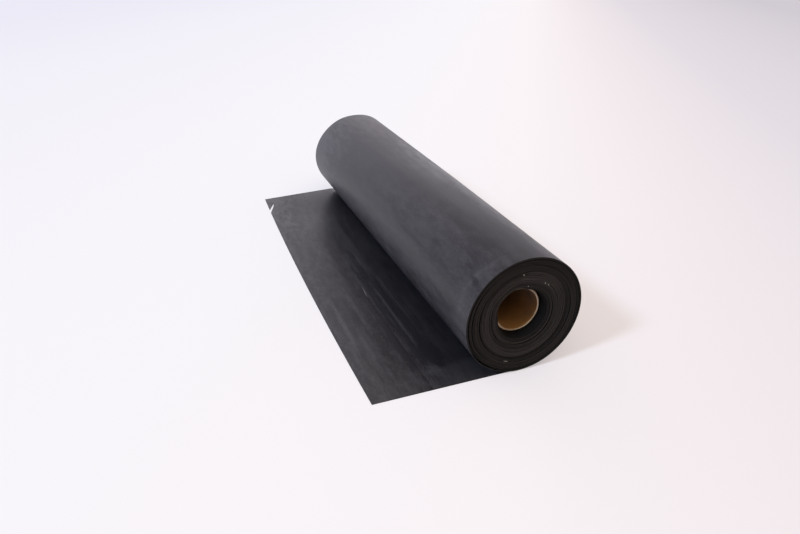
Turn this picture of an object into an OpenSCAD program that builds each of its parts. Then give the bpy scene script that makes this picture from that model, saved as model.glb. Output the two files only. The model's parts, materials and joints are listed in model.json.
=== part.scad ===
// Roll of black rubber membrane on a cardboard core, lying on its side with a loose tail.
// The roll's axis runs along Y, the tail lies flat on the floor towards -X, and Z is up.
// The origin is on the floor, below the middle of the whole object.

/* [Membrane] */
// Width of the sheet, which is the length of the wound roll
sheet_width = 900; // [600:10:1200]
// Thickness of the sheet
sheet_thickness = 1.2; // [0.8:0.1:2]
// Outside diameter of the wound roll
roll_diameter = 213; // [180:1:260]

/* [End faces] */
// How far the innermost turn has slipped along the axis from the outermost one
telescope = 8; // [1:0.5:15]
// How far the edges of neighbouring turns are out of line
unevenness = 0.8; // [0.1:0.1:1.5]

/* [Core] */
// Bore of the core tube
core_bore = 76; // [60:1:100]
// Wall of the core tube
core_wall = 4; // [2:0.5:8]
// How far each end of the core lies inside the edge of the innermost turn
core_inset = 16; // [5:1:40]
// Radial gap between the core and the innermost turn
core_clearance = 0.3; // [0.1:0.05:0.6]

/* [Tail] */
// Length of the tail along its near edge, from below the roll's axis
tail_near_length = 260; // [200:1:400]
// Length of the tail along its far edge, from below the roll's axis
tail_far_length = 254; // [200:1:400]
// How far the cut end bows out past a straight cut
tail_bow = 7; // [1:1:20]
// How far the tail has drifted along the roll, towards the far end
tail_drift = 3; // [0:1:30]

/* [Tear] */
// Distance of the tear's mouth from the tail's far corner, along the cut end
tear_distance = 88; // [60:1:200]
// Length of the tear
tear_length = 53; // [20:1:60]
// Width of the tear at its mouth
tear_width = 6; // [2:0.5:10]
// Angle between the tear and the cut end
tear_angle = 21; // [10:1:60]

/* [Hidden] */
$fn = 128;

rubber_color = [0.16, 0.16, 0.17];
cardboard_color = [0.60, 0.43, 0.27];

roll_r = roll_diameter / 2;
core_r = core_bore / 2 + core_wall;
wound_r = core_r + core_clearance;
core_length = sheet_width - 2 * core_inset;

// Turns of the winding, with the pitch that fills the space between core and outside
turns = round((roll_r - wound_r) / sheet_thickness);
pitch = (roll_r - wound_r) / turns;

// Shift of one turn along the axis: inner turns have slipped furthest, the outermost one not at all,
// and a sine of a large step scatters the turns in between
scatter_step = 137.5;
function slip(turn) =
    turn == turns - 1 ? 0 :
    telescope * pow(1 - turn / (turns - 1), 2) + unevenness * (1 + sin(scatter_step * turn));
slips = [for (turn = [0 : turns - 1]) slip(turn)];

// Half section of the winding: radius first, place along the axis second
function turn_edge(turn, base, inner_first) =
    let (inside = wound_r + turn * pitch, edge = base + slips[turn])
    inner_first
        ? [[inside, edge], [inside + pitch, edge]]
        : [[inside + pitch, edge], [inside, edge]];
near_end_points = [for (turn = [0 : turns - 1]) each turn_edge(turn, 0, true)];
far_end_points = [for (turn = [turns - 1 : -1 : 0]) each turn_edge(turn, sheet_width, false)];

// Cut end of the tail: a straight line between its two corners plus a parabolic bow
cut_steps = 24;
function cut_point(share) = [
    -(tail_near_length + (tail_far_length - tail_near_length) * share + 4 * tail_bow * share * (1 - share)),
    tail_drift + sheet_width * share
];
cut_points = [for (step = [0 : cut_steps]) cut_point(step / cut_steps)];

// The flat tail ends a little before the roll's lowest line, inside the winding
tail_root = 4;
tail_outline = concat(
    cut_points,
    [[-tail_root, tail_drift + sheet_width], [-tail_root, tail_drift]]
);

// Tear: a leaf that starts outside the cut end and narrows to a point inside the tail
tear_steps = 8;
tear_overrun = 0.3;
function tear_half_width(share) = tear_width / 2 * (1 - pow(max(share, 0), 3));
tear_shares = [for (step = [0 : tear_steps]) -tear_overrun + (1 + tear_overrun) * step / tear_steps];
tear_side = [for (share = tear_shares) if (share < 1) [tear_half_width(share), tear_length * share]];
tear_outline = concat(
    tear_side,
    [[0, tear_length]],
    [for (step = [len(tear_side) - 1 : -1 : 0]) [-tear_side[step][0], tear_side[step][1]]]
);
tear_mouth = cut_point(1 - tear_distance / sheet_width);

// Whole object, for the origin below its middle
tail_reach = max([for (point = cut_points) -point[0]]);
far_reach = sheet_width + max(tail_drift, max(slips));
axis_x = (tail_reach - roll_r) / 2;

module placed() {
    translate([axis_x, -far_reach / 2, 0]) children();
}

module on_roll_axis() {
    translate([0, 0, roll_r]) rotate([-90, 0, 0]) children();
}

module winding() {
    on_roll_axis() rotate_extrude() polygon(concat(near_end_points, far_end_points));
}

module tail() {
    linear_extrude(sheet_thickness) difference() {
        polygon(tail_outline);
        translate(tear_mouth) rotate(-tear_angle) polygon(tear_outline);
    }
}

module membrane_roll() {
    color(rubber_color) placed() {
        winding();
        tail();
    }
}

module core_tube() {
    color(cardboard_color) placed() on_roll_axis()
        translate([0, 0, slips[0] + core_inset]) difference() {
            cylinder(r = core_r, h = core_length);
            translate([0, 0, -1]) cylinder(d = core_bore, h = core_length + 2);
        }
}

membrane_roll();
core_tube();
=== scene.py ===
import json
import math

import bpy
import numpy as np
from mathutils import Matrix, Vector


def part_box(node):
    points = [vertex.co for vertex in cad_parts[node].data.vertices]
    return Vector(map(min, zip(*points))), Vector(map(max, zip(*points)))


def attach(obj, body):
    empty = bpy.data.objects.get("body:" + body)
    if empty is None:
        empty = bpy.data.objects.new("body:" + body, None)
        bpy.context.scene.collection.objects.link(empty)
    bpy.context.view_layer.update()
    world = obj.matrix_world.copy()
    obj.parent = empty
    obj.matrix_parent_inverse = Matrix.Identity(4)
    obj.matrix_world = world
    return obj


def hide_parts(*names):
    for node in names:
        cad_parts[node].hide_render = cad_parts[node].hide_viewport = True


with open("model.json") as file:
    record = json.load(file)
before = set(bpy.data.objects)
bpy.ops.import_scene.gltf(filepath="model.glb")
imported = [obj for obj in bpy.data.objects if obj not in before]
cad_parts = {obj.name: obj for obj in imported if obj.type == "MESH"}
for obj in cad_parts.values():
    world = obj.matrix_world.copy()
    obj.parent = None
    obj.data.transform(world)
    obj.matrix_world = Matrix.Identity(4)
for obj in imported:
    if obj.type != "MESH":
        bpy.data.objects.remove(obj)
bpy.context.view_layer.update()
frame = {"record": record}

millimetre = 0.001
fullTurn = 2 * math.pi

# the roll's own place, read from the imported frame
boreMount = next(m for m in frame["record"]["mounts"] if m["name"] == "core_bore")
axisX, _, axisZ = boreMount["pos_m"]
boreRadius = boreMount["dims"]["r_mm"] * millimetre
rollLow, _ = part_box("membrane_roll")
coreLow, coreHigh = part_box("core_tube")
rollRadius = axisZ
coreRadius = (coreHigh.z - coreLow.z) / 2
nearEnd = rollLow.y


# two vectors of numbers become every pair of them, rows by columns
def pairs(rows, columns):
    return np.meshgrid(rows, columns, indexing="ij")


# 0 below low, 1 above high, with flat ends between
def smoothRamp(value, low, high):
    share = np.clip((value - low) / (high - low), 0, 1)
    return share * share * (3 - 2 * share)


# a hump of height 1 at the middle that falls to 0 at half its width, as a squared cosine
def hump(value, middle, halfWidth):
    share = np.clip(np.abs(value - middle) / halfWidth, 0, 1)
    return np.cos(share * math.pi / 2) ** 2


# the same hump on a circle of 360 degrees
def humpRound(degrees, middle, halfWidth):
    turned = (degrees - middle + 180) % 360 - 180
    return hump(turned, 0, halfWidth)


# a sum of sine waves of a value, each with its strength, rate and phase
def wavesOf(value, waves):
    return sum(strength * np.sin(rate * value + phase) for strength, rate, phase in waves)


def linkObject(name, mesh):
    made = bpy.data.objects.new(name, mesh)
    bpy.context.scene.collection.objects.link(made)
    return made


# flat is each point's own place on the unrolled material, kept as a UV map for the patterns
def meshFrom(name, points, faces, materialIndex, sharpDegrees, flat):
    mesh = bpy.data.meshes.new(name)
    mesh.from_pydata(points.reshape(-1, 3), [], faces)
    mesh.polygons.foreach_set("material_index", np.asarray(materialIndex, np.int32))
    mesh.polygons.foreach_set("use_smooth", np.ones(len(faces), bool))
    corners = np.zeros(len(mesh.loops), np.int32)
    mesh.loops.foreach_get("vertex_index", corners)
    flatMap = mesh.uv_layers.new(name="flat")
    flatMap.uv.foreach_set("vector", flat.reshape(-1, 2)[corners].astype(np.float32).ravel())
    mesh.set_sharp_from_angle(angle=math.radians(sharpDegrees))
    mesh.update()
    return mesh


# the membrane: one sheet, wound on the core, with its last stretch lying on the floor

sheet = {
    "width": 0.900,
    "thickness": 0.0011,
    "edgeRounding": 0.00025,
    "turns": 45,
    "stationsPerTurn": 100,
    "outerStations": 150,
    "outerTurns": 1.12,
    "joinGap": 0.0003,  # share of a turn between the outer band and the windings
    "acrossColumns": 46,
    "columnCrowding": 0.14,  # how much closer the columns lie towards both edges
    "sharpDegrees": 35,
    "woundClearance": 0.0012,
    # the innermost turns stand off the core towards the upper left: metres, and the angles in
    # degrees where that starts, is reached, is left and ends
    "coreSlack": (0.0063, 162, 204, 236, 280),
    # how far each turn's near edge lies back from the near end: turn from outside, mm
    "recessTurns": (0, 13, 15, 33, 36, 40, 45),
    "recessDepths": (0.0, 1.0, 3.4, 4.4, 5.2, 6.6, 10.0),
    "setBackTurns": 0.3,  # the outer turn's set back has ended after this share of a turn
    # the near edge's wander: metres, turns where it starts and is whole, and its waves
    "edgeWander": 0.0004,
    "wanderTurns": (0.3, 1.6),
    "wanderWaves": ((1.0, 2.7, 0.4), (0.7, 1.83, 2.1), (1.0, 4.1, 0.0)),
    # where the slack roll bulges: share of the radius, middle and half width in degrees, and the
    # shares of the width where that starts and is whole
    "bulges": ((0.036, 150, 38, 0.0, 0.45), (0.041, 270, 54, 0.0, 1.0)),
    # open gaps between bundles of turns: turn, mm, middle angle, half width in degrees
    "gaps": (
        (1, 3.2, 322, 38),
        (3, 1.5, 262, 80),
        (7, 1.7, 265, 85),
        (14, 1.5, 230, 100),
        (17, 1.3, 280, 60),
        (34, 1.4, 285, 75),
        (6, 1.3, 80, 65),
        (20, 1.6, 40, 95),
        (37, 1.4, 30, 95),
        (26, 1.2, 350, 45),
        (30, 1.0, 120, 70),
        (11, 0.9, 150, 60),
    ),
}

tail = {
    "nearLength": 0.260,
    "farLength": 0.254,
    "bow": 0.007,
    "drift": 0.003,
    "setBack": 0.003,
    "stations": 110,
    # the far edge's slack rise: metres up, and from the roll; shares of that distance where it
    # leaves the floor and is reached; shares of the width where it starts and is whole
    "lift": 0.0099,
    "liftFromRoll": 0.070,
    "liftShares": (0.2, 1.05),
    "liftAcross": (0.80, 1.0),
    # ripples: metres, radians in a metre, bend across the width, phase, and the metres from the
    # roll and from the free end, and the share of the width, over which they grow
    "ripple": 0.00012,
    "rippleRate": 160,
    "rippleBend": ((2, 2.3, 0),),
    "ripplePhase": 0.7,
    "rippleFromRoll": (0.05, 0.11),
    "rippleFromEnd": 0.05,
    "rippleAcross": 0.1,
    "tearFromFarEdge": 0.088,
    "tearLength": 0.053,
    "tearWidth": 0.006,
    "tearDegrees": 21,
    "tearStart": -0.2,  # the cutter starts outside the sheet, by this share of its length
    "tearStations": 25,
    "tearHeights": (-0.01, 0.02),
}

halfSheet = sheet["thickness"] / 2
outerMid = rollRadius - halfSheet


# middle radius of the wound sheet after a number of turns, counted from the outside at the
# lowest line: an even spiral, less each gap that lies outside, and what the gaps take at an
# angle, and the slack beside the core, come off the pitch there
def woundRadius(turn):
    degrees = turn % 1 * 360
    taken = np.zeros_like(turn)
    outside = np.zeros_like(turn)
    for gapTurn, size, middle, halfWidth in sheet["gaps"]:
        opening = size * millimetre * humpRound(degrees, middle, halfWidth)
        starts = gapTurn - 0.5 + middle / 360  # opposite the gap, where it is closed
        taken += opening
        outside += opening * (turn > starts)
    slack, starts, reached, left, ends = sheet["coreSlack"]
    standOff = slack * smoothRamp(degrees, starts, reached) * (1 - smoothRamp(degrees, left, ends))
    innerMid = coreRadius + sheet["woundClearance"] + halfSheet + standOff
    pitch = (outerMid - innerMid - taken) / sheet["turns"]
    return outerMid - turn * pitch - outside


# distance of a turn's near edge behind the near end: the telescoped depth and a slow wander
def edgeRecess(turn):
    depth = np.interp(turn, sheet["recessTurns"], sheet["recessDepths"]) * millimetre
    wander = wavesOf(turn, sheet["wanderWaves"])
    wander = sheet["edgeWander"] * (wander - wander[0] * (turn < 1))
    start = tail["setBack"] * (1 - smoothRamp(turn, 0, sheet["setBackTurns"]))
    return start + depth + wander * smoothRamp(turn, *sheet["wanderTurns"])


# the sheet's middle surface where it is wound, with its outward direction: a circle of the
# wound radius round the roll's axis, at an angle counted from the lowest line to the right
def woundSurface(turn, across):
    t, a = pairs(turn, across)
    angle = t * fullTurn
    radius = woundRadius(turn)[:, None] + 0 * a
    recess = edgeRecess(turn)[:, None] + 0 * a
    out = np.stack([np.sin(angle), 0 * a, -np.cos(angle)], -1)
    for share, middle, halfWidth, starts, whole in sheet["bulges"]:
        along = np.clip((a / sheet["width"] - starts) / (whole - starts), 0, 1)
        radius = radius * (1 + share * humpRound(t % 1 * 360, middle, halfWidth) * along)
    x, z = axisX + radius * np.sin(angle), axisZ - radius * np.cos(angle)
    place = np.stack([x, nearEnd + recess + a, z], -1)
    flat = np.stack([tailLength(a) + rollRadius * angle, a], -1)
    return place, out, flat


# length of the loose tail at a distance across the sheet: a slanted and bowed cut
def tailLength(across):
    v = across / sheet["width"]
    slant = (tail["farLength"] - tail["nearLength"]) * v
    return tail["nearLength"] + slant + 4 * tail["bow"] * v * (1 - v)


# the loose tail: straight out from the lowest line by a share of its length, flat on the floor,
# with a slack rise towards the roll at the far edge and faint ripples along the width
def tailSurface(share, across):
    s, a = pairs(share, across)
    v = a / sheet["width"]
    length = tailLength(a)
    away = s * length
    top = tail["liftFromRoll"]
    leaves, reached = tail["liftShares"]
    rise = np.clip((length - away) / (length - top), 0, 1)
    rise = rise * smoothRamp(away, leaves * top, reached * top)
    lift = tail["lift"] * rise * smoothRamp(v, *tail["liftAcross"])
    inside = smoothRamp(away, *tail["rippleFromRoll"])
    inside = inside * smoothRamp(length - away, 0, tail["rippleFromEnd"])
    inside = inside * smoothRamp(v, 0, tail["rippleAcross"])
    bend = wavesOf(v, tail["rippleBend"])
    waves = 0.5 + 0.5 * np.sin(away * tail["rippleRate"] + bend + tail["ripplePhase"])
    ripple = tail["ripple"] * waves * inside
    aside = tail["setBack"] * (1 - s) + tail["drift"] * s * v
    place = np.stack([axisX - away, nearEnd + aside + a, halfSheet + lift + ripple], -1)
    out = np.zeros_like(place)
    out[..., 2] = -1
    flat = np.stack([length - away, a], -1)
    return place, out, flat


# the sheet's cross-section as a ring of columns: distance from the near edge and height from
# the middle surface, round the near edge, along the outer face, the far edge and the inner face
def sheetRing(columns):
    c, h, w = sheet["edgeRounding"], halfSheet, sheet["width"]
    inner = np.linspace(0, 1, columns + 2)[1:-1]
    inner = inner - sheet["columnCrowding"] * np.sin(fullTurn * inner) / math.pi
    inner = c + (w - 2 * c) * inner
    across = np.concatenate([[c, 0, 0, c], inner, [w - c, w, w, w - c], inner[::-1]])
    nearHeights, farHeights = [-h, c - h, h - c, h], [h, h - c, c - h, -h]
    height = np.concatenate([nearHeights, np.full(columns, h), farHeights, np.full(columns, -h)])
    return across, height


# stations by ring columns become a closed band with both ends capped; faces of the two wide
# sides take material 0, cut edges and ends take material 1
def bandMesh(name, grid, flat, columns):
    rows, ring = grid.shape[:2]
    index = np.arange(rows * ring).reshape(rows, ring)
    after = np.roll(index, -1, axis=1)
    sides = np.stack([index[:-1], after[:-1], after[1:], index[1:]], -1).reshape(-1, 4)
    far = columns + 4  # the first of the four columns round the far edge
    edgeColumn = np.zeros(ring, int)
    edgeColumn[[0, 1, 2, far, far + 1, far + 2]] = 1
    sideMaterial = np.tile(edgeColumn, rows - 1)
    outer = index[:, 3 : far + 1]
    inner = np.concatenate([index[:, :1], index[:, far + 3 :][:, ::-1]], 1)
    faces = sides.tolist()
    for row, turnRound in ((0, True), (-1, False)):
        cap = np.stack([inner[row, :-1], outer[row, :-1], outer[row, 1:], inner[row, 1:]], -1)
        lips = np.stack([index[row, 0:4], index[row, far : far + 4]])
        cap = np.concatenate([cap, lips])
        faces += (cap[:, ::-1] if turnRound else cap).tolist()
    materialIndex = np.concatenate([sideMaterial, np.ones(len(faces) - len(sides), int)])
    return meshFrom(name, grid, faces, materialIndex, sheet["sharpDegrees"], flat)


# the outer turn and the tail, finely divided, because their faces show
across, height = sheetRing(sheet["acrossColumns"])
tailPlace, tailOut, tailFlat = tailSurface(np.linspace(1, 0, tail["stations"]), across)
outerTurns = np.linspace(0, sheet["outerTurns"], sheet["outerStations"])[1:]
woundPlace, woundOut, woundFlat = woundSurface(outerTurns, across)
tailGrid = tailPlace + tailOut * height[:, None]
outerGrid = np.concatenate([tailGrid, woundPlace + woundOut * height[:, None]])
outerFlat = np.concatenate([tailFlat, woundFlat])
outerMesh = bandMesh("membrane", outerGrid, outerFlat, sheet["acrossColumns"])
membrane = linkObject("membrane", outerMesh)

# the windings inside it, which show only on the ends
innerCount = int((sheet["turns"] - sheet["outerTurns"]) * sheet["stationsPerTurn"])
innerTurns = np.linspace(sheet["outerTurns"] + sheet["joinGap"], sheet["turns"], innerCount)
across, height = sheetRing(0)
innerPlace, innerOut, innerFlat = woundSurface(innerTurns, across)
innerGrid = innerPlace + innerOut * height[:, None]
windings = linkObject("windings", bandMesh("windings", innerGrid, innerFlat, 0))
faceCount = len(membrane.data.polygons) + len(windings.data.polygons)
print("membrane: wound", sheet["turns"], "turns,", faceCount, "faces")


# the tear in the tail's cut end: a leaf whose half width falls with the cube of its length
def tearCutter():
    along = np.linspace(tail["tearStart"], 1, tail["tearStations"])
    half = tail["tearWidth"] / 2 * (1 - np.clip(along, 0, 1) ** 3)
    side = np.concatenate([half, -half[-2::-1]])
    along = np.concatenate([along, along[-2::-1]]) * tail["tearLength"]
    turn = math.radians(tail["tearDegrees"])
    mouth = sheet["width"] - tail["tearFromFarEdge"]
    x = axisX - tailLength(mouth) + along * math.sin(turn) + side * math.cos(turn)
    y = nearEnd + tail["drift"] + mouth + along * math.cos(turn) - side * math.sin(turn)
    count = len(x)
    low, high = (np.stack([x, y, np.full(count, z)], -1) for z in tail["tearHeights"])
    index = np.arange(count)
    onward = np.roll(index, -1)
    walls = np.stack([index, onward, onward + count, index + count], -1)
    faces = walls.tolist() + [index[::-1].tolist(), (index + count).tolist()]
    mesh = bpy.data.meshes.new("tearCutter")
    mesh.from_pydata(np.concatenate([low, high]), [], faces)
    return linkObject("tearCutter", mesh)


# the core: a spiral-wound cardboard tube with a rough pale rim

core = {
    "stationsRound": 160,
    "lengthStations": 120,
    "lengthCrowding": 1.6,  # power that draws the stations towards the near end
    "sharpDegrees": 50,
    "rimRounding": 0.0004,
    "rimSoftness": 0.3,  # share of the rounding between the wall and the rim
    "rimOuterRounding": 0.0016,
    # the near rim's wander: metres, its waves, and how far it reaches into the tube
    "rimWander": 0.0005,
    "rimWaves": ((0.5, 3, 1), (0.3, 7, 0), (0.2, 16, 2)),
    "rimReach": 0.01,
    "seamPitch": 0.11,
    "seamDepth": 0.00025,
    "seamHalfWidth": 0.035,  # share of the pitch
}


# the tube as a closed ring of wall sections carried round its axis: inner wall with a shallow
# spiral seam, a rounded rim that wanders a little, the outer wall and the far rim
def coreMesh():
    angle = np.linspace(0, fullTurn, core["stationsRound"], endpoint=False)
    along = np.linspace(0, 1, core["lengthStations"]) ** core["lengthCrowding"]
    length = coreHigh.y - coreLow.y
    wall = coreRadius - boreRadius
    c, e = core["rimRounding"], core["rimOuterRounding"]
    soft = c * core["rimSoftness"]
    insideY = c + (length - 2 * c) * along
    farRim, nearRim = [length - soft, length, length, length - e], [e, 0, 0, soft]
    sectionY = np.concatenate([insideY, farRim, nearRim])
    farDepths = [soft, c, wall - e, wall]
    sectionR = np.concatenate([np.zeros_like(insideY), farDepths, farDepths[::-1]])
    a, y = pairs(angle, sectionY)
    depth = np.zeros_like(a) + sectionR
    phase = (y / core["seamPitch"] - a / fullTurn) % 1
    seam = core["seamDepth"] * hump(phase, 0.5, core["seamHalfWidth"]) * (depth == 0)
    rim = core["rimWander"] * wavesOf(a, core["rimWaves"])
    rim = rim * smoothRamp(core["rimReach"] - y, 0, core["rimReach"])
    radius = boreRadius + depth + seam
    x, z = axisX + radius * np.cos(a), axisZ + radius * np.sin(a)
    place = np.stack([x, coreLow.y + y + rim, z], -1)
    rows, ring = a.shape
    index = np.arange(rows * ring).reshape(rows, ring)
    across, onward = np.roll(index, -1, axis=1), np.roll(index, -1, axis=0)
    faces = np.stack([index, onward, np.roll(across, -1, axis=0), across], -1).reshape(-1, 4)
    inside = core["lengthStations"]
    rimColumn = np.zeros(ring, int)
    rimColumn[inside - 1 : inside + 2] = 1
    rimColumn[inside + 5 :] = 1
    flat = np.stack([a * coreRadius, y], -1)
    materialIndex = np.tile(rimColumn, rows)
    return meshFrom("coreTube", place, faces.tolist(), materialIndex, core["sharpDegrees"], flat)


coreTube = linkObject("coreTube", coreMesh())
print("core:", len(coreTube.data.polygons), "faces")


def newMaterial(name):
    made = bpy.data.materials.new(name)
    made.use_nodes = True
    return made, made.node_tree, made.node_tree.nodes["Principled BSDF"]


# a socket takes another node's output, or else a value of its own
def fill(tree, socket, value):
    if isinstance(value, bpy.types.NodeSocket):
        tree.links.new(value, socket)
    else:
        socket.default_value = value


# adds a node, sets its own settings and fills its inputs
def addNode(tree, kind, inputs=None, **settings):
    made = tree.nodes.new(kind)
    for name, value in settings.items():
        setattr(made, name, value)
    for name, value in (inputs or {}).items():
        fill(tree, made.inputs[name], value)
    return made


def fillShader(tree, shader, sockets):
    for name, value in sockets.items():
        fill(tree, shader.inputs[name], value)


def objectCoords(tree):
    return addNode(tree, "ShaderNodeTexCoord").outputs["Object"]


def flatCoords(tree):
    return addNode(tree, "ShaderNodeUVMap", uv_map="flat").outputs["UV"]


def partsOf(tree, vector):
    return addNode(tree, "ShaderNodeSeparateXYZ", {"Vector": vector}).outputs


noiseMiddle = 0.5


# noise on given coordinates, stretched by a scale for each axis
def noiseOn(tree, coords, stretch, scale, detail=3, roughness=0.55):
    turned = addNode(tree, "ShaderNodeMapping", {"Vector": coords, "Scale": stretch})
    noise = addNode(
        tree,
        "ShaderNodeTexNoise",
        {
            "Vector": turned.outputs["Vector"],
            "Scale": scale,
            "Detail": detail,
            "Roughness": roughness,
        },
    )
    return noise.outputs["Fac"]


# a value's way from low to high becomes the way between two others, held at both ends
def ranged(tree, value, fromLow, fromHigh, toLow, toHigh):
    made = addNode(
        tree,
        "ShaderNodeMapRange",
        {
            "Value": value,
            "From Min": fromLow,
            "From Max": fromHigh,
            "To Min": toLow,
            "To Max": toHigh,
        },
    )
    return made.outputs["Result"]


# the first colour at a share of 0, the second at 1
def mixed(tree, share, first, second):
    made = addNode(tree, "ShaderNodeMix", data_type="RGBA")
    for identifier, value in (("Factor_Float", share), ("A_Color", first), ("B_Color", second)):
        fill(tree, next(i for i in made.inputs if i.identifier == identifier), value)
    return next(o for o in made.outputs if o.identifier == "Result_Color")


def calc(tree, operation, first, second):
    made = addNode(tree, "ShaderNodeMath", {0: first, 1: second}, operation=operation)
    return made.outputs["Value"]


def plus(tree, first, second):
    return calc(tree, "ADD", first, second)


def minus(tree, first, second):
    return calc(tree, "SUBTRACT", first, second)


def times(tree, first, second):
    return calc(tree, "MULTIPLY", first, second)


def vectorCalc(tree, operation, first, second):
    return addNode(tree, "ShaderNodeVectorMath", {0: first, 1: second}, operation=operation).outputs


def bumpFrom(tree, height, strength, distance):
    inputs = {"Height": height, "Strength": strength, "Distance": distance}
    return addNode(tree, "ShaderNodeBump", inputs).outputs["Normal"]


# colours along a value of 0 to 1: place and colour of each stop
def colourRamp(tree, value, stops):
    made = addNode(tree, "ShaderNodeValToRGB", {"Fac": value})
    elements = made.color_ramp.elements
    while len(elements) < len(stops):
        elements.new(0.5)
    for element, (place, colour) in zip(elements, stops):
        element.position, element.color = place, colour
    return made.outputs["Color"]


# a soft spot, 1 at its middle and 0 at its half sizes, turned by degrees about each axis
def softSpot(tree, coords, middle, degrees, halfSizes):
    turned = addNode(
        tree,
        "ShaderNodeMapping",
        {
            "Vector": coords,
            "Location": middle,
            "Rotation": [math.radians(d) for d in degrees],
            "Scale": halfSizes,
        },
        vector_type="TEXTURE",
    )
    inputs = {"Vector": turned.outputs["Vector"]}
    spot = addNode(tree, "ShaderNodeTexGradient", inputs, gradient_type="SPHERICAL")
    return spot.outputs["Fac"]


# a soft oval mark on the flat sheet, 1 at its middle
def ovalMark(tree, flat, along, across, halfLength, halfWidth, degrees=0):
    middle, halfSizes = (along, across, 0), (halfLength, halfWidth, 1)
    return softSpot(tree, flat, middle, (0, 0, degrees), halfSizes)


# 1 where the camera, a reflection or glass sees a surface, 0 where it only lights another
def seenShare(tree):
    rays = addNode(tree, "ShaderNodeLightPath").outputs
    indirect = calc(tree, "MAXIMUM", rays["Is Glossy Ray"], rays["Is Transmission Ray"])
    return calc(tree, "MAXIMUM", rays["Is Camera Ray"], indirect)


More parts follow.
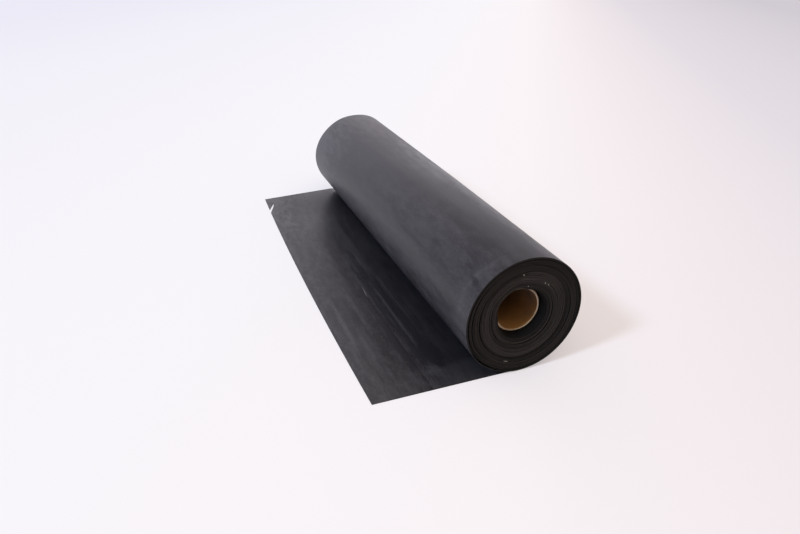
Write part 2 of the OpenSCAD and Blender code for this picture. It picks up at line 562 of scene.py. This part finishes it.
rubber = {
    "dark": (0.0095, 0.0087, 0.0112, 1),
    "bloom": (0.0643, 0.0612, 0.0687, 1),
    "bloomWhole": 1.5,  # the bloom at which that colour is reached
    "rubbed": (0.150, 0.147, 0.152, 1),
    "worn": (0.0022, 0.0020, 0.0027, 1),  # where the bloom is worn right off
    "wornGloss": 0.08,  # how much smoother it is there
    "wornBloom": -0.8,  # the bloom, below none, at which it is bare
    "wornFrom": (0.26, 0.32),  # metres from the free end where wear starts and is whole
    "rough": (0.34, 0.48),  # with no bloom, and from the next value on
    "roughBloom": 0.7,
    "specular": 0.40,
    "specularTint": (0.955, 0.935, 1.0, 1),
    # noise on the flat sheet: stretch across it, patterns in a metre, detail, roughness
    "patterns": {
        "clouds": (0.30, 20, 2, 0.5),
        "bands": (0.10, 62, 3, 0.6),
        "patches": (0.27, 52, 3, 0.6),
        "lines": (0.012, 210, 2, 0.6),
        "broken": (0.35, 70, 3, 0.6),
        "specks": (0.28, 170, 2, 0.6),
        "mottle": (0.36, 75, 4, 0.6),
        "grain": (0.22, 520, 1, 0.5),
        "waves": (0.16, 42, 1, 0.5),
    },
    # the bloom is a sum of these patterns: low and high sum, and the bloom at each
    "bloomShares": {"clouds": 0.30, "bands": 0.30, "patches": 0.40},
    "bloomRange": (0.38, 0.62, 0.02, 0.60),
    "usualBloom": 0.3,  # where the bloom is even
    "noiseSpan": (0.35, 0.65),  # between which most of a pattern lies
    "tailEnds": (0.20, 0.32),  # metres from the free end where the tail passes into the roll
    # the tail is sheltered close to the roll: metres from the free end where that starts and is
    # whole, and how even the bloom is at each
    "shelter": (0.100, 0.145, 0, 0.72),
    # bloom along the tail: metres from the free end, where it starts and stops falling, and the
    # bloom added at each
    "tailFade": (0.020, 0.092, 0.57, -0.27),
    # bloom towards the far end: metres across where it starts and is whole, and the bloom at
    # each; the share of it along the tail and on the roll, by metres from the free end
    "farFade": (0.62, 0.92, 0, 1.18),
    "farOnTail": (0.03, 0.10, 0.6, 0),
    "farOnRoll": (0.27, 0.40, 0, 1),
    # the loose tail's streaks: their middle along and across, and how far they reach each way; a
    # mark counts in full from its whole value on, of 1 at its middle
    "streaks": (0.108, 0.300, 0.055, 0.36),
    "streaksWhole": 0.5,
    "fineLines": (0.40, 0.68, -0.10, 0.18),  # low and high noise, and the bloom at each
    "softLines": (0.2, 0.4),  # share on the roll, strength
    # straight pale and dark streaks: along and across the flat sheet, half length, half width,
    # bloom
    "streakMarks": (
        (0.1300, 0.220, 0.0045, 0.190, 0.26),
        (0.1060, 0.250, 0.0040, 0.170, 0.24),
        (0.1125, 0.095, 0.0040, 0.060, 0.18),
        (0.0875, 0.090, 0.0050, 0.080, 0.12),
        (0.0660, 0.290, 0.0060, 0.130, 0.42),
        (0.0275, 0.230, 0.0050, 0.120, 0.38),
        (0.0460, 0.190, 0.0050, 0.090, 0.32),
        (0.0890, 0.680, 0.0080, 0.120, 0.30),
        (0.1195, 0.500, 0.0050, 0.130, 0.16),
        (0.1500, 0.330, 0.0050, 0.110, 0.14),
        (0.1640, 0.130, 0.0080, 0.070, 0.08),
        (0.1380, 0.230, 0.0050, 0.190, -0.30),
        (0.1125, 0.330, 0.0040, 0.190, -0.26),
        (0.0970, 0.230, 0.0050, 0.190, -0.22),
        (0.1220, 0.190, 0.0040, 0.120, -0.18),
        (0.0365, 0.270, 0.0060, 0.150, -0.42),
        (0.0540, 0.260, 0.0050, 0.080, -0.36),
        (0.0640, 0.110, 0.0070, 0.080, -0.28),
        (0.1020, 0.600, 0.0080, 0.160, -0.24),
        (0.1540, 0.640, 0.0070, 0.140, -0.24),
        (0.7170, 0.250, 0.0045, 0.120, -0.45),
    ),
    "streakMarksWhole": 0.7,
    # wide soft places, in the same way; the one low on the roll's left side by the near end is partly
    # painted light
    "softPlaces": (
        (0.1200, 0.008, 0.1600, 0.062, 0.14),
        (0.1850, 0.450, 0.0700, 0.600, 0.12),
        (0.1350, 0.600, 0.0600, 0.280, 0.22),
        (0.7720, 0.350, 0.0500, 0.600, 0.40),
        # partly pale smears and partly painted light: front light reaching into the nip at the open
        # near end, painted as a pale place
        (0.7850, 0.005, 0.0700, 0.080, 0.50),
        (0.6350, 0.220, 0.0600, 0.280, -0.30),
        (0.7120, 0.250, 0.0220, 0.140, -0.20),
        (0.7620, 0.920, 0.0900, 0.140, 1.15),
        (0.5550, 0.340, 0.0340, 0.260, -0.35),
        (0.6000, 0.690, 0.0380, 0.130, 0.40),
    ),
    "softPlacesWhole": 0.8,
    # smears with ragged outlines, in the same way, with degrees before the bloom; the dark ones
    # are speckled
    "smears": (
        (0.1430, 0.105, 0.0170, 0.062, 0, -0.60),
        (0.1180, 0.050, 0.0330, 0.020, 0, 0.32),
        (0.6540, 0.027, 0.0560, 0.012, 12, 0.50),
        (0.7270, 0.032, 0.0560, 0.012, 8, 0.50),
        (0.6580, 0.240, 0.0140, 0.100, 4, 0.55),
        (0.6520, 0.150, 0.0090, 0.060, 4, 0.50),
        (0.6620, 0.072, 0.0110, 0.032, 8, -0.95),
        (0.6800, 0.060, 0.0080, 0.026, 4, -0.90),
        (0.6920, 0.018, 0.0080, 0.034, 10, -1.60),
        (0.6910, 0.176, 0.0070, 0.030, 0, -0.80),
        (0.3400, 0.300, 0.0230, 0.100, 6, -0.50),
        (0.4100, 0.620, 0.0170, 0.120, -5, -0.45),
        (0.3700, 0.560, 0.0140, 0.130, 3, 0.35),
        (0.4700, 0.210, 0.0200, 0.090, -8, 0.35),
        (0.5300, 0.480, 0.0160, 0.100, 5, -0.45),
    ),
    "ragged": (0.36, 0.62, 0.5, 1.2),  # low and high noise, and the share of a mark at each
    "speckled": (0.37, 0.63, 0.3, 1.3),
    # how the smears are bent: patterns in a metre, detail, roughness; metres along and across
    "warpNoise": (38, 3, 0.6),
    "smearWarp": (0.016, 0.040),
    # pale rubbed band along the tail's near edge: metres across where it thins and stops, and the
    # bloom at each; metres from the free end where it starts and is whole
    "nearBand": (0.046, 0.064, 0.24, 0),
    "nearBandFrom": (0.06, 0.11),
    # fine variation of the bloom: metres across, near and far, and its strength at each
    "mottle": (0.20, 0.90, 0.20, 0.34),
    "mottleGloss": 0.16,  # how much smoother the tail is where that variation is pale
    "grain": 0.17,  # strength of the finest variation
    # one fresh scratch, in the same way as a smear, with its share of bare pale rubber
    "scratch": (0.1045, 0.333, 0.0014, 0.026, -4.0, 1.0),
    "reliefShares": {"lines": 0.05, "broken": 0.05, "waves": 1.0},
    "relief": (1.0, 0.0008),  # strength, depth
}


# a weighted sum of the patterns
def patternSum(tree, noises, shares):
    total = 0.0
    for name, share in shares.items():
        total = plus(tree, total, times(tree, noises[name], share))
    return total


# black rubber: soft clouds and streaks of pale bloom along the width, which are stronger on the
# tail and fade along it, with rubbed marks, a scratch and a faint relief
def rubberMaterial():
    made, tree, shader = newMaterial("rubberFace")
    flat = flatCoords(tree)
    flatParts = partsOf(tree, flat)
    fromEnd, acrossSheet = flatParts["X"], flatParts["Y"]
    noises = {
        name: noiseOn(tree, flat, (1, stretch, 1), scale, detail, roughness)
        for name, (stretch, scale, detail, roughness) in rubber["patterns"].items()
    }
    onTail = ranged(tree, fromEnd, *rubber["tailEnds"], 1, 0)

    # clouds, evened out where the roll shelters the tail, and the slow fades
    bloom = patternSum(tree, noises, rubber["bloomShares"])
    bloom = ranged(tree, bloom, *rubber["bloomRange"])
    sheltered = times(tree, ranged(tree, fromEnd, *rubber["shelter"]), onTail)
    spread = minus(tree, 1, sheltered)
    usual = rubber["usualBloom"]
    bloom = plus(tree, times(tree, minus(tree, bloom, usual), spread), usual)
    tailFade = ranged(tree, fromEnd, *rubber["tailFade"])
    bloom = plus(tree, bloom, times(tree, tailFade, onTail))
    farOnTail = ranged(tree, fromEnd, *rubber["farOnTail"])
    farOnRoll = ranged(tree, fromEnd, *rubber["farOnRoll"])
    farShare = calc(tree, "MAXIMUM", farOnTail, farOnRoll)
    farFade = ranged(tree, acrossSheet, *rubber["farFade"])
    bloom = plus(tree, bloom, times(tree, farFade, farShare))

    # straight streaks
    streaky = ovalMark(tree, flat, *rubber["streaks"])
    streaky = ranged(tree, streaky, 0, rubber["streaksWhole"], 0, 1)
    fineLines = ranged(tree, noises["lines"], *rubber["fineLines"])
    bloom = plus(tree, bloom, times(tree, fineLines, streaky))
    rollShare, lineStrength = rubber["softLines"]
    softLines = minus(tree, noises["lines"], noiseMiddle)
    softLines = times(tree, softLines, plus(tree, rollShare, onTail))
    bloom = plus(tree, bloom, times(tree, softLines, lineStrength))
    ragged = ranged(tree, noises["broken"], *rubber["ragged"])
    marked = 0.0
    for *oval, strength in rubber["streakMarks"]:
        mark = ovalMark(tree, flat, *oval)
        mark = ranged(tree, mark, 0, rubber["streakMarksWhole"], 0, strength)
        marked = plus(tree, marked, mark)
    bloom = plus(tree, bloom, times(tree, marked, ragged))

    # soft places, smears and the rubbed band
    for *oval, strength in rubber["softPlaces"]:
        mark = ovalMark(tree, flat, *oval)
        bloom = plus(tree, bloom, ranged(tree, mark, 0, rubber["softPlacesWhole"], 0, strength))
    scale, detail, roughness = rubber["warpNoise"]
    warpInputs = {"Vector": flat, "Scale": scale, "Detail": detail, "Roughness": roughness}
    warp = addNode(tree, "ShaderNodeTexNoise", warpInputs).outputs["Color"]
    off = vectorCalc(tree, "SUBTRACT", warp, [noiseMiddle] * 3)["Vector"]
    off = vectorCalc(tree, "MULTIPLY", off, (*rubber["smearWarp"], 0))["Vector"]
    warped = vectorCalc(tree, "ADD", flat, off)["Vector"]
    speckled = ranged(tree, noises["specks"], *rubber["speckled"])
    for *oval, strength in rubber["smears"]:
        mark = times(tree, ovalMark(tree, warped, *oval), speckled if strength < 0 else ragged)
        bloom = plus(tree, bloom, times(tree, mark, strength))
    nearBand = ranged(tree, partsOf(tree, warped)["Y"], *rubber["nearBand"])
    nearBand = times(tree, nearBand, onTail)
    nearBand = times(tree, nearBand, ranged(tree, fromEnd, *rubber["nearBandFrom"], 0, 1))
    bloom = plus(tree, bloom, nearBand)

    # fine variation
    mottle = times(tree, ranged(tree, noises["mottle"], *rubber["noiseSpan"], -1, 1), spread)
    mottle = times(tree, mottle, ranged(tree, acrossSheet, *rubber["mottle"]))
    bloom = plus(tree, bloom, mottle)
    grain = ranged(tree, noises["grain"], *rubber["noiseSpan"], -rubber["grain"], rubber["grain"])
    bloom = plus(tree, bloom, times(tree, grain, spread))

    worn = ranged(tree, bloom, rubber["wornBloom"], 0, 1, 0)
    worn = times(tree, worn, ranged(tree, fromEnd, *rubber["wornFrom"], 0, 1))
    bloom = calc(tree, "MAXIMUM", bloom, 0)
    bloomShare = calc(tree, "DIVIDE", bloom, rubber["bloomWhole"])
    colour = mixed(tree, bloomShare, rubber["dark"], rubber["bloom"])
    colour = mixed(tree, worn, colour, rubber["worn"])
    *oval, strength = rubber["scratch"]
    scratch = times(tree, ovalMark(tree, flat, *oval), strength)
    colour = mixed(tree, scratch, colour, rubber["rubbed"])
    rough = ranged(tree, bloom, 0, rubber["roughBloom"], *rubber["rough"])
    rough = minus(tree, rough, times(tree, worn, rubber["wornGloss"]))
    mottleGloss = times(tree, times(tree, mottle, onTail), rubber["mottleGloss"])
    rough = minus(tree, rough, mottleGloss)
    relief = patternSum(tree, noises, rubber["reliefShares"])
    fillShader(
        tree,
        shader,
        {
            "Base Color": colour,
            "Roughness": rough,
            "Normal": bumpFrom(tree, relief, *rubber["relief"]),
            "Specular IOR Level": rubber["specular"],
            "Specular Tint": rubber["specularTint"],
        },
    )
    return made


rubberBetween = {
    "colour": (0.0066, 0.0062, 0.0060, 1),
    "pattern": (0.3, 30),  # stretch across the sheet, patterns in a metre
    "darkShare": 0.4,  # the most of the outer rubber's dark colour in it
    "rough": (0.55, 0.7),
    "specular": 0.06,
}


# the same rubber between the turns, where no bloom forms
def rubberInsideMaterial():
    made, tree, shader = newMaterial("rubberInside")
    stretch, scale = rubberBetween["pattern"]
    noise = noiseOn(tree, flatCoords(tree), (1, stretch, 1), scale)
    most = rubberBetween["darkShare"]
    share = ranged(tree, noise, *rubber["noiseSpan"], 0, most)
    fillShader(
        tree,
        shader,
        {
            "Base Color": mixed(tree, share, rubberBetween["colour"], rubber["dark"]),
            "Roughness": ranged(tree, share, 0, most, *rubberBetween["rough"]),
            "Specular IOR Level": rubberBetween["specular"],
        },
    )
    return made


cutEdge = {
    "dark": (0.0045, 0.0038, 0.0035, 1),
    "dust": (0.0400, 0.0335, 0.0318, 1),
    "speck": (0.42, 0.40, 0.37, 1),
    "roughness": 0.75,
    "specular": 0.1,
    # dust on each ring of turns, and painted shade in the low tones next to the core and at the outer
    # rim, where the recessed turns lie in shade: share of the roll's radius, tone
    "ringTones": (
        (0.43, 0.12),
        (0.49, 0.78),
        (0.53, 0.50),
        (0.58, 0.56),
        (0.62, 0.93),
        (0.67, 0.84),
        (0.71, 0.70),
        (0.755, 0.33),
        (0.80, 0.55),
        (0.85, 0.40),
        (0.90, 0.46),
        (0.95, 0.30),
        (1.0, 0.30),
    ),
    # uneven dust by ring, along the sheet and as grain: patterns in a metre, share
    "ringNoise": (330, 0.9),
    "turnNoise": (2.3, 0.9),
    "grainNoise": (700, 0.3),
    "noiseDetail": 2,
    "unevenRange": (0.6, 1.5, -0.40, 0.40),  # low and high sum, and the tone added at each
    # a dustier stretch: degrees from the right, cosines where it starts and is whole, low and
    # high radius, softness of both, strength
    "dustyDegrees": 65,
    "dustyCosines": (0.80, 0.97),
    "dustyRadii": (0.060, 0.081),
    "dustySoftness": 0.004,
    "dusty": 0.60,
    # pale crumbs on the near end: distance from the axis, degrees from the right, half width, half
    # height, degrees of tilt
    "crumbs": (
        (0.0769, 97.3, 0.0013, 0.0013, 0),
        (0.0632, 58.7, 0.0014, 0.0014, 0),
        (0.0639, 51.4, 0.0014, 0.0014, 0),
        (0.0527, 87.3, 0.0012, 0.0012, 0),
        (0.0865, -107.4, 0.0062, 0.00055, 17),
    ),
    "crumbReach": 0.02,  # metres from the near end
    "crumbWhole": 0.4,
    "relief": (0.3, 0.0004),  # strength, depth
}


# cut rubber edges: brownish black, each ring of turns with its own dust and painted shade next to the
# core and at the outer rim, pale crumbs on the near end
def cutEdgeMaterial():
    made, tree, shader = newMaterial("rubberCutEdge")
    coords, flat = objectCoords(tree), flatCoords(tree)
    centring = {"Vector": coords, "Location": (-axisX, 0, -axisZ), "Scale": (1, 0, 1)}
    centred = addNode(tree, "ShaderNodeMapping", centring).outputs["Vector"]
    fromAxis = addNode(tree, "ShaderNodeVectorMath", {0: centred}, operation="LENGTH")
    radius = fromAxis.outputs["Value"]
    # painted shade: the tones are lowest next to the core and at the outer rim, where the recessed
    # turns lie in shade
    stops = [(share, (tone, tone, tone, 1)) for share, tone in cutEdge["ringTones"]]
    tones = colourRamp(tree, calc(tree, "DIVIDE", radius, rollRadius), stops)

    detail = cutEdge["noiseDetail"]
    ringScale, ringShare = cutEdge["ringNoise"]
    turnScale, turnShare = cutEdge["turnNoise"]
    grainScale, grainShare = cutEdge["grainNoise"]
    ringInputs = {"W": radius, "Scale": ringScale, "Detail": detail}
    rings = addNode(tree, "ShaderNodeTexNoise", ringInputs, noise_dimensions="1D").outputs["Fac"]
    turns = noiseOn(tree, flat, (1, 0, 1), turnScale, detail)
    grain = noiseOn(tree, coords, (1, 1, 1), grainScale, detail)
    uneven = plus(tree, times(tree, rings, ringShare), times(tree, turns, turnShare))
    uneven = plus(tree, uneven, times(tree, grain, grainShare))
    dust = plus(tree, tones, ranged(tree, uneven, *cutEdge["unevenRange"]))

    turn = math.radians(cutEdge["dustyDegrees"])
    towards = (math.cos(turn), 0, math.sin(turn))
    lengthwise = vectorCalc(tree, "DOT_PRODUCT", centred, towards)["Value"]
    cosine = calc(tree, "DIVIDE", lengthwise, radius)
    low, high = cutEdge["dustyRadii"]
    soft = cutEdge["dustySoftness"]
    patch = ranged(tree, cosine, *cutEdge["dustyCosines"], 0, 1)
    patch = times(tree, patch, ranged(tree, radius, low, low + soft, 0, 1))
    patch = times(tree, patch, ranged(tree, radius, high - soft, high, 1, 0))
    dust = plus(tree, dust, times(tree, patch, cutEdge["dusty"]))
    colour = mixed(tree, dust, cutEdge["dark"], cutEdge["dust"])

    crumbs = 0.0
    for away, degrees, halfWidth, halfHeight, tilt in cutEdge["crumbs"]:
        angle = math.radians(degrees)
        place = (axisX + away * math.cos(angle), nearEnd, axisZ + away * math.sin(angle))
        halfSizes = (halfWidth, cutEdge["crumbReach"], halfHeight)
        spot = softSpot(tree, coords, place, (0, tilt, 0), halfSizes)
        crumbs = plus(tree, crumbs, ranged(tree, spot, 0, cutEdge["crumbWhole"], 0, 1))
    fillShader(
        tree,
        shader,
        {
            "Base Color": mixed(tree, crumbs, colour, cutEdge["speck"]),
            "Normal": bumpFrom(tree, grain, *cutEdge["relief"]),
            "Roughness": cutEdge["roughness"],
            "Specular IOR Level": cutEdge["specular"],
        },
    )
    return made


board = {
    "dark": (0.070, 0.047, 0.038, 1),
    "light": (0.305, 0.135, 0.030, 1),
    "rimDark": (0.30, 0.21, 0.14, 1),
    "rimLight": (0.66, 0.53, 0.41, 1),
    "roughness": 0.75,
    # blotches and fibres: patterns in a metre, detail; share of the fibres, and the low and high
    # sum between which the board goes from dark to light
    "clouds": (40, 4),
    "fibres": (700, 3),
    "fibreShare": 0.5,
    "lightRange": (0.55, 0.95),
    "wallStretch": 0.15,
    "rimStretch": 0.25,
    # painted light: the wall is lighter low down and near the near end, where light falls in, and
    # darker higher up and deeper in: heights from the axis, depths, and how much each of them and the
    # pattern counts
    "cleanHeights": (-0.036, 0.010),
    "cleanDepths": (0.020, 0.090),
    "cleanShares": (0.54, 0.10, 0.28),
    "relief": (0.3, 0.0004),  # strength, depth
}


# kraft board: fibres along the tube's winding and soft blotches; on the wall, painted light makes it
# lighter low down and near the near end
def boardMaterial(name, dark, light, stretch, paintedLight):
    made, tree, shader = newMaterial(name)
    coords = objectCoords(tree)
    clouds = noiseOn(tree, coords, (1, 1, 1), *board["clouds"])
    fibres = noiseOn(tree, coords, (1, stretch, 1), *board["fibres"])
    share = plus(tree, clouds, times(tree, fibres, board["fibreShare"]))
    share = ranged(tree, share, *board["lightRange"], 0, 1)
    # painted light: lighter low down and towards the open near end, where light falls in
    if paintedLight:
        parts = partsOf(tree, coords)
        lowest, highest = board["cleanHeights"]
        nearest, deepest = board["cleanDepths"]
        lowShare, nearShare, patternShare = board["cleanShares"]
        low = ranged(tree, parts["Z"], axisZ + lowest, axisZ + highest, 1, 0)
        near = ranged(tree, parts["Y"], coreLow.y + nearest, coreLow.y + deepest, 1, 0)
        tone = plus(tree, times(tree, low, lowShare), times(tree, near, nearShare))
        share = plus(tree, tone, times(tree, share, patternShare))
    fillShader(
        tree,
        shader,
        {
            "Base Color": mixed(tree, share, dark, light),
            "Normal": bumpFrom(tree, fibres, *board["relief"]),
            "Roughness": board["roughness"],
        },
    )
    return made


rubberFace, rubberCut = rubberMaterial(), cutEdgeMaterial()
for piece, face in ((membrane, rubberFace), (windings, rubberInsideMaterial())):
    piece.data.materials.append(face)
    piece.data.materials.append(rubberCut)
wallColours, rimColours = (board["dark"], board["light"]), (board["rimDark"], board["rimLight"])
boardWall = boardMaterial("boardWall", *wallColours, board["wallStretch"], True)
boardRim = boardMaterial("boardRim", *rimColours, board["rimStretch"], False)
coreTube.data.materials.append(boardWall)
coreTube.data.materials.append(boardRim)
print("materials: rubber, cut rubber, board and board rim")

# the tear is cut from the outer sheet before the windings join it
cutter = tearCutter()
cutter.data.materials.append(rubberCut)
cut = membrane.modifiers.new("tear", "BOOLEAN")
cut.operation, cut.object, cut.solver = "DIFFERENCE", cutter, "EXACT"
with bpy.context.temp_override(object=membrane, active_object=membrane):
    bpy.ops.object.modifier_apply(modifier=cut.name)
bpy.data.objects.remove(cutter)
joined = {
    "object": membrane,
    "active_object": membrane,
    "selected_editable_objects": [membrane, windings],
}
with bpy.context.temp_override(**joined):
    bpy.ops.object.join()
triangles = sum(len(p.vertices) - 2 for p in membrane.data.polygons)
print("membrane:", triangles, "triangles in one piece")

for piece, node, slotName in ((membrane, "membrane_roll", "membrane"), (coreTube, "core_tube", "core")):
    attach(piece, "root")
    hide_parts(node)

# floor, light and camera
studio = {
    "floorSize": 60.0,
    "floorRoughness": 0.9,
    # colours along the floor with painted light falloff, from far left to far right: place in metres,
    # colour; bluer and brighter on the left, where the key is strongest, and darker towards both far
    # ends as painted vignetting
    "floorTowards": (0.85, -0.53),
    "floorColours": (
        (-4.0, (0.782, 0.777, 0.874, 1)),
        (-0.6, (0.881, 0.867, 0.911, 1)),
        (0.0, (0.898, 0.852, 0.882, 1)),
        (0.4, (0.838, 0.774, 0.803, 1)),
        (1.0, (0.724, 0.680, 0.728, 1)),
        (2.7, (0.594, 0.558, 0.614, 1)),
    ),
    "floorShown": 0.42,  # share of the floor that the camera sees as its plain colour
    # the light from behind by height, its left and right sides, and the light from the front
    "worldHorizon": (1.27, 1.22, 1.37, 1),
    "worldMiddle": (1.01, 0.965, 1.10, 1),
    "worldLeft": (0.70, 0.67, 0.76, 1),
    "worldRight": (0.48, 0.435, 0.465, 1),
    "worldFront": (0.45, 0.39, 0.31, 1),
    "worldShown": (0.86, 0.84, 0.88, 1),  # what is seen of the front, low down, in other views
    "aboveFront": (1.70, 1.53, 1.26, 1),
    "aboveBack": (0.50, 0.45, 0.40, 1),
    # parts of a direction between which one light passes into the next
    "frontToBehind": (-0.25, 0.35),
    "leftToMiddle": (-0.58, -0.20),
    "middleToRight": (0.80, 1.15),
    "rightLean": 1.6,  # how much height counts towards the right
    "horizonToMiddle": (0.20, 0.50),
    "shownToFront": (0.15, 0.25),
    "lowToAbove": (0.55, 0.82),
    # a brighter part of the backdrop, behind on the right: direction, and the cosines where it
    # starts and is whole
    "glow": (1.80, 1.71, 1.86, 1),
    "glowTowards": (0.30, 0.91, 0.25),
    "glowReach": (0.955, 0.998),
    "keyStrength": 2.0,
    "keyColour": (0.62, 0.80, 1.0),
    "keySpread": 10.0,
    "keyTowards": (-1.25, -0.30, 1.0),
    "keyDistance": 3,
}


# white paper whose colour changes slowly across the picture, with painted light falloff: bluer and
# brighter to the left, darker towards both far ends
def makeFloor():
    half = studio["floorSize"] / 2
    mesh = bpy.data.meshes.new("floor")
    corners = [(-half, -half, 0), (half, -half, 0), (half, half, 0), (-half, half, 0)]
    mesh.from_pydata(corners, [], [(0, 1, 2, 3)])
    made, tree, shader = newMaterial("paperFloor")
    parts = partsOf(tree, objectCoords(tree))
    towardsX, towardsY = studio["floorTowards"]
    acrossX = times(tree, minus(tree, parts["X"], axisX), towardsX)
    acrossY = times(tree, minus(tree, parts["Y"], nearEnd), towardsY)
    across = plus(tree, acrossX, acrossY)
    low, high = studio["floorColours"][0][0], studio["floorColours"][-1][0]
    stops = [((place - low) / (high - low), colour) for place, colour in studio["floorColours"]]
    # painted light falloff and vignetting across the floor
    colour = colourRamp(tree, ranged(tree, across, low, high, 0, 1), stops)
    fillShader(
        tree,
        shader,
        {
            "Base Color": colour,
            "Roughness": studio["floorRoughness"],
            "Specular IOR Level": 0.0,
        },
    )
    plain = addNode(tree, "ShaderNodeEmission", {"Color": colour})
    shown = times(tree, seenShare(tree), studio["floorShown"])
    inputs = {"Fac": shown, 1: shader.outputs["BSDF"], 2: plain.outputs["Emission"]}
    both = addNode(tree, "ShaderNodeMixShader", inputs)
    tree.links.new(both.outputs["Shader"], tree.nodes["Material Output"].inputs["Surface"])
    mesh.materials.append(made)
    return linkObject("floor", mesh)


# soft light from all round: a cool backdrop, dimmer to the right, and warm light from above the
# camera
def makeWorld():
    world = bpy.data.worlds.new("studio")
    world.use_nodes = True
    tree = world.node_tree
    direction = addNode(tree, "ShaderNodeTexCoord").outputs["Generated"]
    parts = partsOf(tree, direction)
    behind = ranged(tree, parts["Y"], *studio["frontToBehind"], 0, 1)
    toMiddle = ranged(tree, parts["X"], *studio["leftToMiddle"], 0, 1)
    upRight = plus(tree, parts["X"], times(tree, parts["Z"], studio["rightLean"]))
    toRight = ranged(tree, upRight, *studio["middleToRight"], 0, 1)
    upright = ranged(tree, parts["Z"], *studio["horizonToMiddle"], 0, 1)
    backdrop = mixed(tree, upright, studio["worldHorizon"], studio["worldMiddle"])
    backdrop = mixed(tree, toMiddle, studio["worldLeft"], backdrop)
    backdrop = mixed(tree, toRight, backdrop, studio["worldRight"])
    towards = Vector(studio["glowTowards"]).normalized()
    near = vectorCalc(tree, "DOT_PRODUCT", direction, towards)["Value"]
    glowing = ranged(tree, near, *studio["glowReach"], 0, 1)
    backdrop = mixed(tree, glowing, backdrop, studio["glow"])
    lowDown = ranged(tree, parts["Z"], *studio["shownToFront"], 1, 0)
    seen = times(tree, seenShare(tree), lowDown)
    front = mixed(tree, seen, studio["worldFront"], studio["worldShown"])
    low = mixed(tree, behind, front, backdrop)
    above = mixed(tree, behind, studio["aboveFront"], studio["aboveBack"])
    light = mixed(tree, ranged(tree, parts["Z"], *studio["lowToAbove"], 0, 1), low, above)
    tree.links.new(light, tree.nodes["Background"].inputs["Color"])
    bpy.context.scene.world = world


# a soft cool key from the left
def makeKey():
    lamp = bpy.data.lights.new("key", "SUN")
    lamp.energy = studio["keyStrength"]
    lamp.color = studio["keyColour"]
    lamp.angle = math.radians(studio["keySpread"])
    made = linkObject("key", lamp)
    towards = Vector(studio["keyTowards"]).normalized()
    made.location = towards * studio["keyDistance"]
    made.rotation_euler = towards.to_track_quat("Z", "Y").to_euler()


# the camera's place is counted from the roll's axis and near end
camera = {
    "focalPixels": 639.44,
    "imageWidth": 800,
    "sensor": 36.0,
    "clipEnd": 100,
    "fromAxis": -0.514838,
    "fromNearEnd": -0.736134,
    "height": 0.648475,
    "yaw": 0.382521,
    "pitch": 0.481216,
    "roll": 0.023552,
}


# looks along a yaw and a pitch, and leans by a roll about that direction
def makeCamera():
    lens = bpy.data.cameras.new("camera")
    lens.sensor_width = camera["sensor"]
    lens.lens = camera["focalPixels"] * camera["sensor"] / camera["imageWidth"]
    lens.clip_end = camera["clipEnd"]
    made = linkObject("camera", lens)
    yaw, pitch, roll = camera["yaw"], camera["pitch"], camera["roll"]
    level = Vector((math.cos(yaw), -math.sin(yaw), 0))
    ahead = math.cos(pitch)
    forward = Vector((math.sin(yaw) * ahead, math.cos(yaw) * ahead, -math.sin(pitch)))
    upright = level.cross(forward)
    right = math.cos(roll) * level + math.sin(roll) * upright
    up = math.cos(roll) * upright - math.sin(roll) * level
    turned = Matrix((right, up, -forward)).transposed().to_4x4()
    x, y = axisX + camera["fromAxis"], nearEnd + camera["fromNearEnd"]
    made.matrix_world = Matrix.Translation(Vector((x, y, camera["height"]))) @ turned
    bpy.context.scene.camera = made


makeFloor()
makeWorld()
makeKey()
makeCamera()
bpy.context.scene.view_settings.view_transform = "Standard"
print("stage: floor, light and camera")
